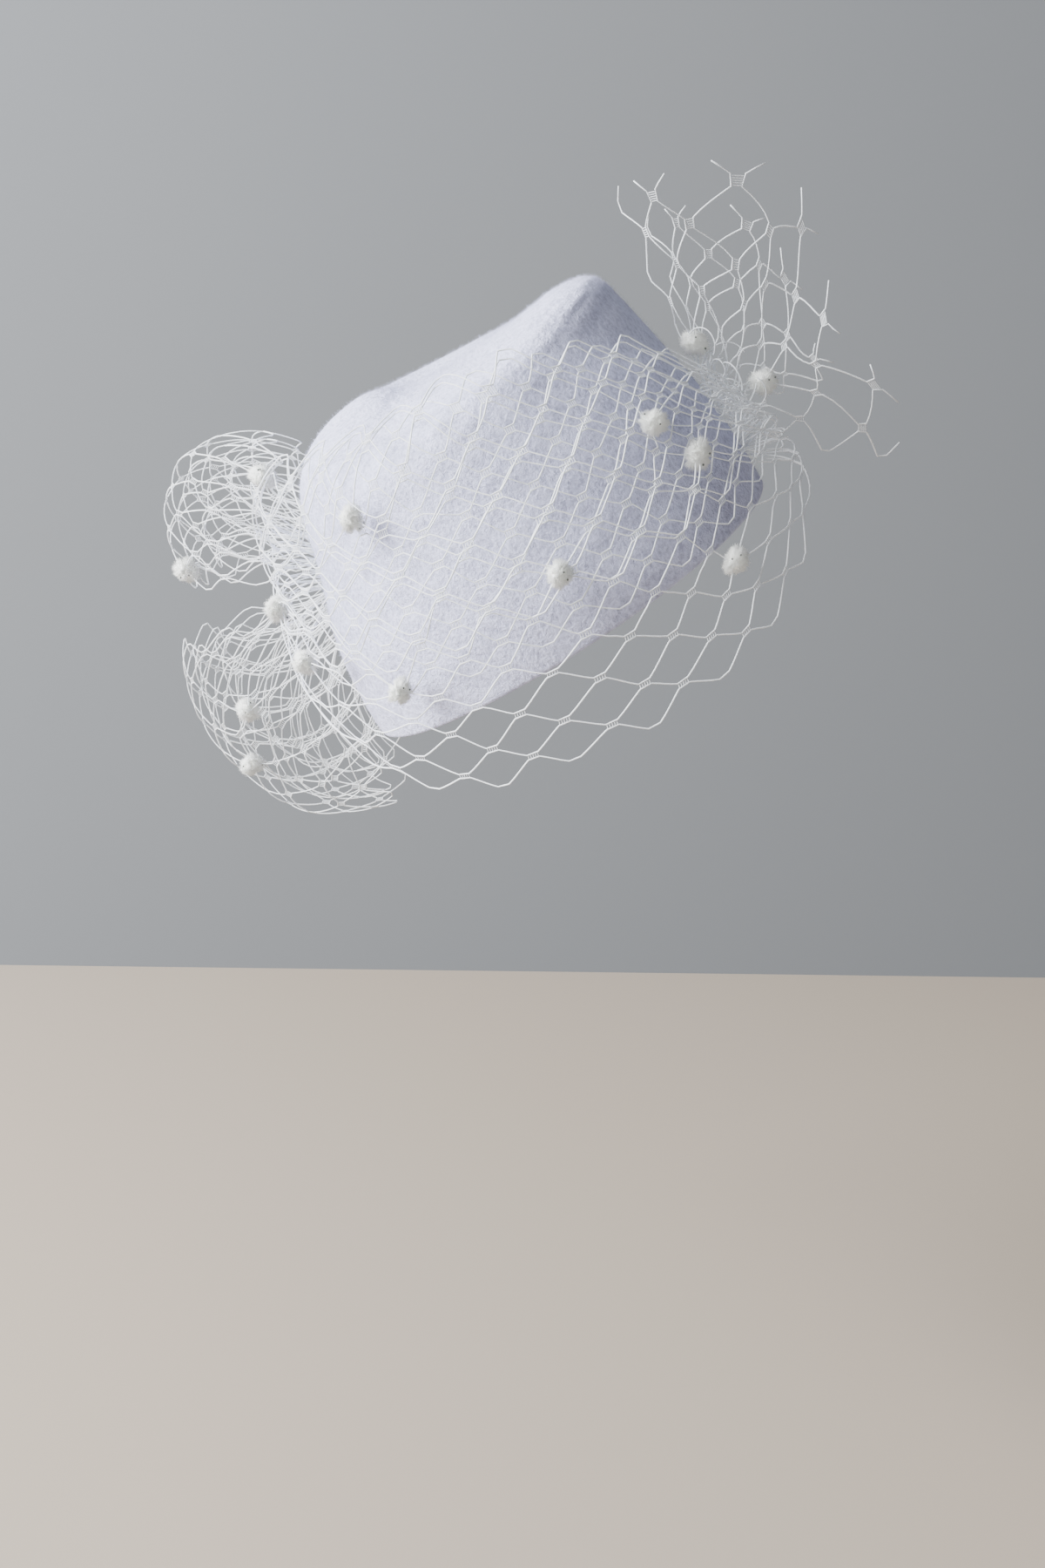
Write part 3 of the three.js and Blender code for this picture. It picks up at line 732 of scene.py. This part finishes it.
front_net = net_piece(
    "net_front", (SPRAY_ROOT, np.array([0.8, -0.6, 0]), 16, 61),
    (FRONT_COLUMNS, FRONT_ROWS, veil_front, front_warp(),
     {"wound_at": POMPOMS["veil_front"], "seed": 1}),
    (FRONT_COLUMNS, 9, veil_front, front_warp(0.05, 5), {"lift": -2.0, "seed": 2}),
    (FRONT_COLUMNS, 8, veil_front, front_warp(0.08, 6.12),
     {"lift": 1.2, "looseness": 0.02, "seed": 1}),
)

# %% [markdown]
# The fan's threads run outwards, so its warp changes a and b over, and its threads end in
# short cut tails. A second, smaller fan stands just behind the first, as the folded netting
# does. The loops are laid like the front, each with two smaller loops inside.

# %% The netting at the sides
spray_net = net_piece(
    "net_spray", (SPRAY_ROOT, np.array([0.6, -0.2, 0.8]), 14, 62),
    (3, 12, spray, even(3, 12, flip=True),
     {"looseness": 0.05, "wound_at": POMPOMS["veil_spray"], "tail": 0.2, "seed": 4}),
    (3, 9, spray, even(3.6, 9, low=0.04, high=0.8, flip=True),
     {"lift": -5.0, "looseness": 0.06, "tail": 0.18, "seed": 5}),
)
upper_net = net_piece(
    "net_loop_upper", (UPPER_ROOT, np.array([-0.9, -0.2, 0.3]), 8, 63),
    (6, 10, loop(UPPER_ROOT, UPPER_LOOP), even(6, 10),
     {"looseness": 0.04, "wound_at": POMPOMS["veil_loop_upper"], "seed": 6}),
    (6, 9, loop(UPPER_ROOT, UPPER_LOOP, 0.93, 0.8), even(6, 9, low=0.03, high=0.97),
     {"looseness": 0.06, "seed": 10}),
    (5, 7, loop(UPPER_ROOT, UPPER_LOOP, 0.8, 0.55), even(5, 7, low=0.08, high=0.94),
     {"looseness": 0.05, "seed": 7}),
)
lower_net = net_piece(
    "net_loop_lower", (LOWER_ROOT, np.array([-0.9, -0.2, -0.3]), 8, 64),
    (8, 12, loop(LOWER_ROOT, LOWER_LOOP), even(8, 12),
     {"looseness": 0.04, "wound_at": POMPOMS["veil_loop_lower"], "seed": 8}),
    (8, 11, loop(LOWER_ROOT, LOWER_LOOP, 0.94, 0.8), even(8, 11, low=0.03, high=0.97),
     {"looseness": 0.06, "seed": 11}),
    (6, 9, loop(LOWER_ROOT, LOWER_LOOP, 0.82, 0.5), even(6, 9, low=0.05, high=0.95),
     {"looseness": 0.05, "seed": 9}),
)

# %% [markdown]
# A pompom here is a scrap of chenille wound round a knot: a soft core, and thousands of short
# fibres that stand out of it in tufts. A hair system could grow them, but spikes like those of
# the nap are plain mesh, which needs nothing else to be shown. Each pompom is one mesh, seeded
# by its number so that no two are alike, and it sits at the middle of the solid that it takes
# the place of.

# %% The pompoms
LOBES = 5
TUFTS = 85
TUFT_FIBRES = 48
FIBRE_WIDTH = 0.13
FIBRE_DEPTH = 0.2
LOBE_SCATTER = 0.5
SQUASH = 0.08
TUFT_SCATTER = 0.12
FIBRE_SCATTER = 0.13
TUFT_TILT = 0.3
FIBRE_TILT = 0.2
TUFT_SHARES = (0.75, 1.15)
FIBRE_SHARES = (0.8, 1.1)
CORE_SHARE = 0.6
CORE_SWELL = (0.8, 0.34)
REACH_SWELL = (0.88, 0.36)
SPECKS = 2
SPECK_SHARE = 0.075
SPECK_REACH = 0.86
SPECK_FACING = np.array([0.2, -1, 0.2])
SPECK_SCATTER = 0.6


def on_sphere(count):
    """Directions spread evenly over a sphere: steps of equal height, each turned on from the
    last by the golden angle."""
    height = 1 - (2 * np.arange(count) + 1) / count
    angle = np.arange(count) * np.pi * (3 - np.sqrt(5))
    flat = np.sqrt(1 - height**2)
    return np.stack([flat * np.cos(angle), flat * np.sin(angle), height], -1)


def ball(radius_of, rings=12, steps=16):
    """A closed ball of rings, whose radius is a function of the direction."""
    polar = np.pi * np.arange(1, rings) / rings
    turn = 2 * np.pi * np.arange(steps) / steps
    polar, turn = np.meshgrid(polar, turn, indexing="ij")
    out = np.stack([np.sin(polar) * np.cos(turn), np.sin(polar) * np.sin(turn), -np.cos(polar)], -1)
    bottom, top_point = np.array([0, 0, -1.0]), np.array([0, 0, 1.0])
    rings_out = out * radius_of(out)[..., None]
    poles = [pole * radius_of(pole[None])[0] for pole in (bottom, top_point)]
    return lathed(rings_out, poles[0], poles[1])


def pompom(name, centre, seed):
    """One pompom: its radius and the reach of its fibres grow with the square of how nearly a
    direction faces the nearest of a few lobes, so the outline is lumpy. The fibres stand in
    tufts, and those of one tuft lean the same way. The last faces are the two dark ends of
    its wire, half sunk in the fibres."""
    rng = np.random.default_rng(seed)
    lobes = unit(on_sphere(LOBES) + LOBE_SCATTER * rng.normal(size=(LOBES, 3)))
    squash = 1 + SQUASH * rng.normal(size=3)

    def fullness(direction):
        return np.maximum((direction @ lobes.T).max(-1), 0) ** 2

    def radius_of(direction):
        swell = CORE_SWELL[0] + CORE_SWELL[1] * fullness(direction)
        return POMPOM_RADIUS * CORE_SHARE * swell

    points, faces = ball(radius_of)
    tufts = unit(on_sphere(TUFTS) + TUFT_SCATTER * rng.normal(size=(TUFTS, 3)))
    tuft = np.repeat(tufts, TUFT_FIBRES, axis=0)
    direction = unit(tuft + FIBRE_SCATTER * rng.normal(size=tuft.shape))
    root = direction * (radius_of(direction) - FIBRE_DEPTH)[:, None]
    tilt = np.repeat(TUFT_TILT * rng.normal(size=(TUFTS, 3)), TUFT_FIBRES, axis=0)
    lean = unit(tuft + tilt + FIBRE_TILT * rng.normal(size=tuft.shape))
    reach = POMPOM_RADIUS * (REACH_SWELL[0] + REACH_SWELL[1] * fullness(direction))
    fullest = np.repeat(rng.uniform(*TUFT_SHARES, TUFTS), TUFT_FIBRES)
    standing = (reach - np.linalg.norm(root, axis=1)) * fullest
    length = standing * rng.uniform(*FIBRE_SHARES, len(root))
    fibres, fibre_faces = spikes(root, lean, length, FIBRE_WIDTH / 2, rng)
    bead, bead_faces = ball(lambda d: 0 * d[..., 0] + SPECK_SHARE * POMPOM_RADIUS, 5, 6)
    facing = unit(rng.normal(size=(SPECKS, 1, 3)) * SPECK_SCATTER + SPECK_FACING)
    specks = (bead + facing * SPECK_REACH * reach.mean()).reshape(-1, 3)
    whole = np.concatenate([points, fibres, specks]) * squash
    faces = faces + (fibre_faces + len(points)).tolist()
    starts = len(points) + len(fibres) + np.arange(SPECKS) * len(bead)
    speck_faces = [[n + first for n in face] for first in starts.tolist() for face in bead_faces]
    piece = mesh_piece(name, np.asarray(centre) + whole * MM, faces + speck_faces)
    which = np.zeros(len(faces) + len(speck_faces), np.int32)
    which[len(faces):] = 1
    piece.data.polygons.foreach_set("material_index", which)
    return piece


pompoms = {}
names = sorted(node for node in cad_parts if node.startswith("pompom"))
for number, node in enumerate(names):
    low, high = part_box(node)
    pompoms[node] = pompom("fuzzy_" + node, (low + high) / 2, 50 + number)
report(pompoms[names[0]])

# %% [markdown]
# Every finish is built from nodes that read the surface's own coordinates. One helper starts a
# material, and small ones add a node and feed its sockets, so each finish below reads as a
# list of what it is made of.


# %% Helpers for materials
def start_material(name, roughness):
    """A new material and its shader, with the roughness set."""
    material = bpy.data.materials.new(name)
    material.use_nodes = True
    shader = material.node_tree.nodes["Principled BSDF"]
    shader.inputs["Roughness"].default_value = roughness
    return material, shader


def feed(material, socket, value):
    """Sets a socket to a number or a colour, or links it to another node's output."""
    if isinstance(value, bpy.types.NodeSocket):
        material.node_tree.links.new(value, socket)
    else:
        socket.default_value = value


def tune(material, node, **inputs):
    """Feeds a node's inputs by name, with an underscore for each space."""
    for name, value in inputs.items():
        feed(material, node.inputs[name.replace("_", " ")], value)
    return node


def add(material, kind, **inputs):
    """A new node with its inputs fed."""
    return tune(material, material.node_tree.nodes.new(kind), **inputs)


def noise(material, place, scale, detail, roughness=0.5):
    """Cloudy noise between 0 and 1: its scale is in periods to the metre."""
    clouds = add(material, "ShaderNodeTexNoise", Vector=place, Scale=scale, Detail=detail,
                 Roughness=roughness)
    return clouds.outputs["Fac"]


def arithmetic(material, operation, *values):
    """One operation on numbers or other nodes' outputs, in the order of its sockets."""
    node = add(material, "ShaderNodeMath")
    node.operation = operation
    for socket, value in zip(node.inputs, values):
        feed(material, socket, value)
    return node.outputs[0]


def bump(material, height, strength, distance, **under):
    """The normal of a surface raised by a pattern, over another bump where one is given."""
    raised = add(material, "ShaderNodeBump", Height=height, Strength=strength,
                 Distance=distance, **under)
    return raised.outputs["Normal"]


def ramp(material, factor, *stops):
    """A colour that runs between two (place, colour) stops as the factor grows."""
    node = add(material, "ShaderNodeValToRGB", Fac=factor)
    for element, (place, colour) in zip(node.color_ramp.elements, stops):
        element.position = place
        element.color = (*colour, 1)
    return node.outputs["Color"]


# %% [markdown]
# Felted wool is matt and a little cloudy. A picture of felt would have to be wrapped round the
# crown, but noise on object coordinates lies on it with no seam. Broad clouds and flecks a
# millimetre or two across, where fibres bunch, go into the colour. The flecks and a finer
# grain raise the surface, and sheen gives the soft bright edge of the nap.

# %% Felt
FELT_LIGHT = (0.745, 0.765, 1.0)
FELT_DARK = (0.495, 0.505, 0.70)
CLOUD_SCALE = 55.0
CLOUD_PART = 0.3
FLECK_SCALE = 600.0
GRAIN_SCALE = 2600.0


def felt_finish():
    material, shader = start_material("lilac_wool_felt", 0.95)
    place = add(material, "ShaderNodeTexCoord").outputs["Object"]
    clouds = noise(material, place, CLOUD_SCALE, 4.0, 0.6)
    flecks = noise(material, place, FLECK_SCALE, 4.0, 0.65)
    grain = noise(material, place, GRAIN_SCALE, 3.0, 0.7)
    mixed = arithmetic(material, "MULTIPLY_ADD", clouds, CLOUD_PART, flecks)
    low = bump(material, flecks, 0.85, 0.0014)
    tune(
        material, shader, Base_Color=ramp(material, mixed, (0.47, FELT_DARK), (0.72, FELT_LIGHT)),
        Normal=bump(material, grain, 0.5, 0.0005, Normal=low), Sheen_Weight=0.25,
        Sheen_Tint=(*FELT_LIGHT, 1), Sheen_Roughness=0.6, Specular_IOR_Level=0.2,
    )
    return material


felt = felt_finish()
for piece in (felt_crown, felt_nap):
    piece.data.materials.append(felt)
print(felt.name, "is made of", len(felt.node_tree.nodes), "nodes")

# %% [markdown]
# The netting is a hard twisted thread with a satin gloss. A pattern on object coordinates
# would cut across the threads, so the twist is a bump of slanting stripes that follows each
# thread by its own map: turns round it against millimetres along it. Fine thread also lets
# light through, and a faint painted glow, an emission that brightens the thread even in
# shade, stands in for that.

# %% Thread
THREAD_LIGHT = (0.83, 0.86, 0.90)
THREAD_DARK = (0.76, 0.80, 0.84)
# A painted glow: the thread's emission, which lightens it even where it lies in shade.
THREAD_PAINTED_GLOW = 0.08
TWISTS = 0.9
STRANDS = 2


def thread_finish():
    """The height of the twist is the sine of the angle round the thread times its count of
    strands, turned on by TWISTS turns for every millimetre along it."""
    material, shader = start_material("satin_thread", 0.42)
    place = add(material, "ShaderNodeTexCoord")
    cloudy = noise(material, place.outputs["Object"], 240.0, 2.0)
    split = add(material, "ShaderNodeSeparateXYZ", Vector=place.outputs["UV"])
    turned = arithmetic(material, "MULTIPLY_ADD", split.outputs["Y"], TWISTS, split.outputs["X"])
    angle = arithmetic(material, "MULTIPLY", turned, 2 * np.pi * STRANDS)
    stripes = arithmetic(material, "SINE", angle)
    tune(
        material, shader,
        Base_Color=ramp(material, cloudy, (0.35, THREAD_DARK), (0.6, THREAD_LIGHT)),
        Normal=bump(material, stripes, 0.3, 0.0001), Sheen_Weight=0.15,
        Subsurface_Weight=0.5, Subsurface_Scale=0.0006, Subsurface_Radius=(1, 1, 1),
        # The emission is painted light that lifts the thread where it is shaded.
        Emission_Color=(*THREAD_LIGHT, 1), Emission_Strength=THREAD_PAINTED_GLOW,
    )
    return material


thread = thread_finish()
nets = {
    "veil_front": front_net, "veil_spray": spray_net,
    "veil_loop_upper": upper_net, "veil_loop_lower": lower_net,
}
for piece in nets.values():
    piece.data.materials.append(thread)
print(thread.name, "is made of", len(thread.node_tree.nodes), "nodes")

# %% [markdown]
# Chenille is softer and a shade greener than the thread, with a nearly black wire end showing
# here and there. The fibres are already modelled, so the finish only has to be matt, vary in
# tone and let light in. A faint painted glow, an emission that lifts the shaded sides of each
# pompom, stands in for the light that comes through.

# %% Chenille
CHENILLE_LIGHT = (0.97, 0.98, 0.95)
CHENILLE_DARK = (0.88, 0.91, 0.83)
# A painted glow: the chenille's emission, which brightens the pompoms' shaded sides.
CHENILLE_PAINTED_GLOW = 0.16
WIRE_DARK = (0.05, 0.06, 0.055)
WIRE_WORN = (0.16, 0.17, 0.16)


def chenille_finish():
    material, shader = start_material("ivory_chenille", 0.9)
    place = add(material, "ShaderNodeTexCoord").outputs["Object"]
    tone = noise(material, place, 420.0, 3.0, 0.6)
    fuzz = noise(material, place, 3000.0, 2.0)
    tune(
        material, shader,
        Base_Color=ramp(material, tone, (0.3, CHENILLE_DARK), (0.58, CHENILLE_LIGHT)),
        Normal=bump(material, fuzz, 0.4, 0.0002), Sheen_Weight=0.4,
        Subsurface_Weight=0.5, Subsurface_Scale=0.001, Subsurface_Radius=(1, 1, 1),
        # The emission is painted light that lifts the pompoms where they are shaded.
        Emission_Color=(*CHENILLE_LIGHT, 1), Emission_Strength=CHENILLE_PAINTED_GLOW,
    )
    return material


def wire_finish():
    material, shader = start_material("dark_wire_end", 0.5)
    place = add(material, "ShaderNodeTexCoord").outputs["Object"]
    scuffs = noise(material, place, 5000.0, 2.0)
    tune(material, shader, Base_Color=ramp(material, scuffs, (0.3, WIRE_DARK), (0.8, WIRE_WORN)))
    return material


chenille, wire = chenille_finish(), wire_finish()
for piece in pompoms.values():
    piece.data.materials.append(chenille)
    piece.data.materials.append(wire)
print("finishes:", [m.name for m in bpy.data.materials if m.users])

# %% [markdown]
# Each piece now takes its place in the frame: it rides on the one body and stands for the
# solid of the same form, which is hidden. For each sheet of netting, the size it was cut to is
# printed with the share of it that its threads cover.

# %% Pieces and the solids they stand for
for piece, slot in ((felt_crown, "felt"), (felt_nap, "felt")):
    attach(piece, "root")
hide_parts("felt_cap")

for node, piece in pompoms.items():
    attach(piece, "root")
    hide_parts(node)

numbers = iter(names)
for node, places in POMPOMS.items():
    piece, wound = nets[node], [pompoms[next(numbers)] for _ in places]
    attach(piece, "root")
    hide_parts(node)
    width, length = piece["cut"]
    share = sum(polygon.area for polygon in piece.data.polygons) / (width * length)
    print(f"{piece.name}: cut {width:.3f} by {length:.3f} m, thread {share:.2f} of it")

# %% [markdown]
# The camera stands three quarters of a metre from the hat, a little above it and towards the
# wearer's left. It could be aimed by a constraint, but the perspective gives its direction
# as an azimuth, a pitch and a small roll, which are plain numbers to set. The lens comes from
# the focal length and the height of the image, both in pixels.

# %% Camera
CAMERA_PLACE = (0.16387, -0.72449, 0.10489)
CAMERA_AZIMUTH = np.radians(14.035)
CAMERA_PITCH = np.radians(13.0755)
CAMERA_ROLL = np.radians(0.70176)
SENSOR = 36.0
FOCAL_PIXELS = 2400.0
IMAGE_HEIGHT = 1800.0
FARTHEST_SEEN = 20


def camera_axes(azimuth, pitch, roll):
    """The camera's right, up and backward directions: it looks along +Y turned by the azimuth
    and lowered by the pitch, and then rolls about that line."""
    forward = np.array([
        -np.sin(azimuth) * np.cos(pitch), np.cos(azimuth) * np.cos(pitch), -np.sin(pitch)
    ])
    right = unit(np.cross(forward, [0, 0, 1]))
    up = np.cross(right, forward)
    rolled_right = right * np.cos(roll) + up * np.sin(roll)
    rolled_up = up * np.cos(roll) - right * np.sin(roll)
    return np.stack([rolled_right, rolled_up, -forward], 1)


camera_data = bpy.data.cameras.new("camera")
camera_data.sensor_width = SENSOR
camera_data.lens = FOCAL_PIXELS / IMAGE_HEIGHT * SENSOR
camera_data.clip_end = FARTHEST_SEEN
camera = bpy.data.objects.new("camera", camera_data)
bpy.context.scene.collection.objects.link(camera)
place = np.eye(4)
place[:3, :3] = camera_axes(CAMERA_AZIMUTH, CAMERA_PITCH, CAMERA_ROLL)
place[:3, 3] = CAMERA_PLACE
camera.matrix_world = place.T.tolist()
bpy.context.scene.camera = camera
print("lens, mm:", camera_data.lens)

# %% [markdown]
# The set is plain: a table top some way under the hat, a grey wall behind it, and soft light,
# so that nothing draws the eye from the felt. A wide window-like lamp stands to the left, a
# weak one fills from the right, and the sky colour lifts the shadows.

# %% Table, wall and light
TABLE_HEIGHT = -0.343
WALL_DISTANCE = 0.62
STAGE_HALF = 3.0
TABLE_COLOUR = (0.37, 0.31, 0.25)
WALL_COLOUR = (0.152, 0.161, 0.172)
SKY_COLOUR = (0.86, 0.89, 0.95)
SKY_STRENGTH = 0.27
WINDOW_PLACE = (-1.4, -0.8, 0.8)
WINDOW_SIZE = (1.2, 1.4)
WINDOW_POWER = 186
WINDOW_COLOUR = (0.97, 0.985, 1.0)
FILL_PLACE = (1.4, -1.2, 0.5)
FILL_SIZE = (1.6, 1.6)
FILL_POWER = 2
FILL_COLOUR = (1.0, 0.98, 0.96)


def plane(name, corners, colour, roughness):
    """A flat rectangle of the set in one plain colour."""
    piece = mesh_piece(name, np.array(corners, float), [[0, 1, 2, 3]], smooth=False)
    material, shader = start_material(name, roughness)
    shader.inputs["Base Color"].default_value = (*colour, 1)
    piece.data.materials.append(material)
    return piece


def stage_corners(distance):
    """Left and right ends of a line across the view, at a distance behind the hat."""
    _, _, back = camera_axes(CAMERA_AZIMUTH, 0.0, 0.0).T
    right = np.cross([0, 0, 1], back)
    middle = -back * distance
    return middle - right * STAGE_HALF, middle + right * STAGE_HALF


far_left, far_right = stage_corners(WALL_DISTANCE)
near_left, near_right = stage_corners(-STAGE_HALF)
down, up = np.array([0, 0, TABLE_HEIGHT]), np.array([0, 0, STAGE_HALF])
plane("table_top", [near_left + down, near_right + down, far_right + down, far_left + down],
      TABLE_COLOUR, 0.6)
plane("wall", [far_left + down, far_right + down, far_right + up, far_left + up],
      WALL_COLOUR, 0.9)


def lamp(name, place, size, power, colour):
    """A rectangular lamp at a place, facing the middle of the hat's rim."""
    data = bpy.data.lights.new(name, "AREA")
    data.shape = "RECTANGLE"
    data.size, data.size_y = size
    data.energy, data.color = power, colour
    lamp_object = bpy.data.objects.new(name, data)
    back = unit(np.array(place))
    right = unit(np.cross([0, 0, 1], back))
    matrix = np.eye(4)
    matrix[:3, :3] = np.stack([right, np.cross(back, right), back], 1)
    matrix[:3, 3] = place
    lamp_object.matrix_world = matrix.T.tolist()
    bpy.context.scene.collection.objects.link(lamp_object)


lamp("window", WINDOW_PLACE, WINDOW_SIZE, WINDOW_POWER, WINDOW_COLOUR)
lamp("fill", FILL_PLACE, FILL_SIZE, FILL_POWER, FILL_COLOUR)
world = bpy.data.worlds.new("room")
world.use_nodes = True
world.node_tree.nodes["Background"].inputs["Color"].default_value = (*SKY_COLOUR, 1)
world.node_tree.nodes["Background"].inputs["Strength"].default_value = SKY_STRENGTH
bpy.context.scene.world = world
print("lamps:", [light.name for light in bpy.data.lights])
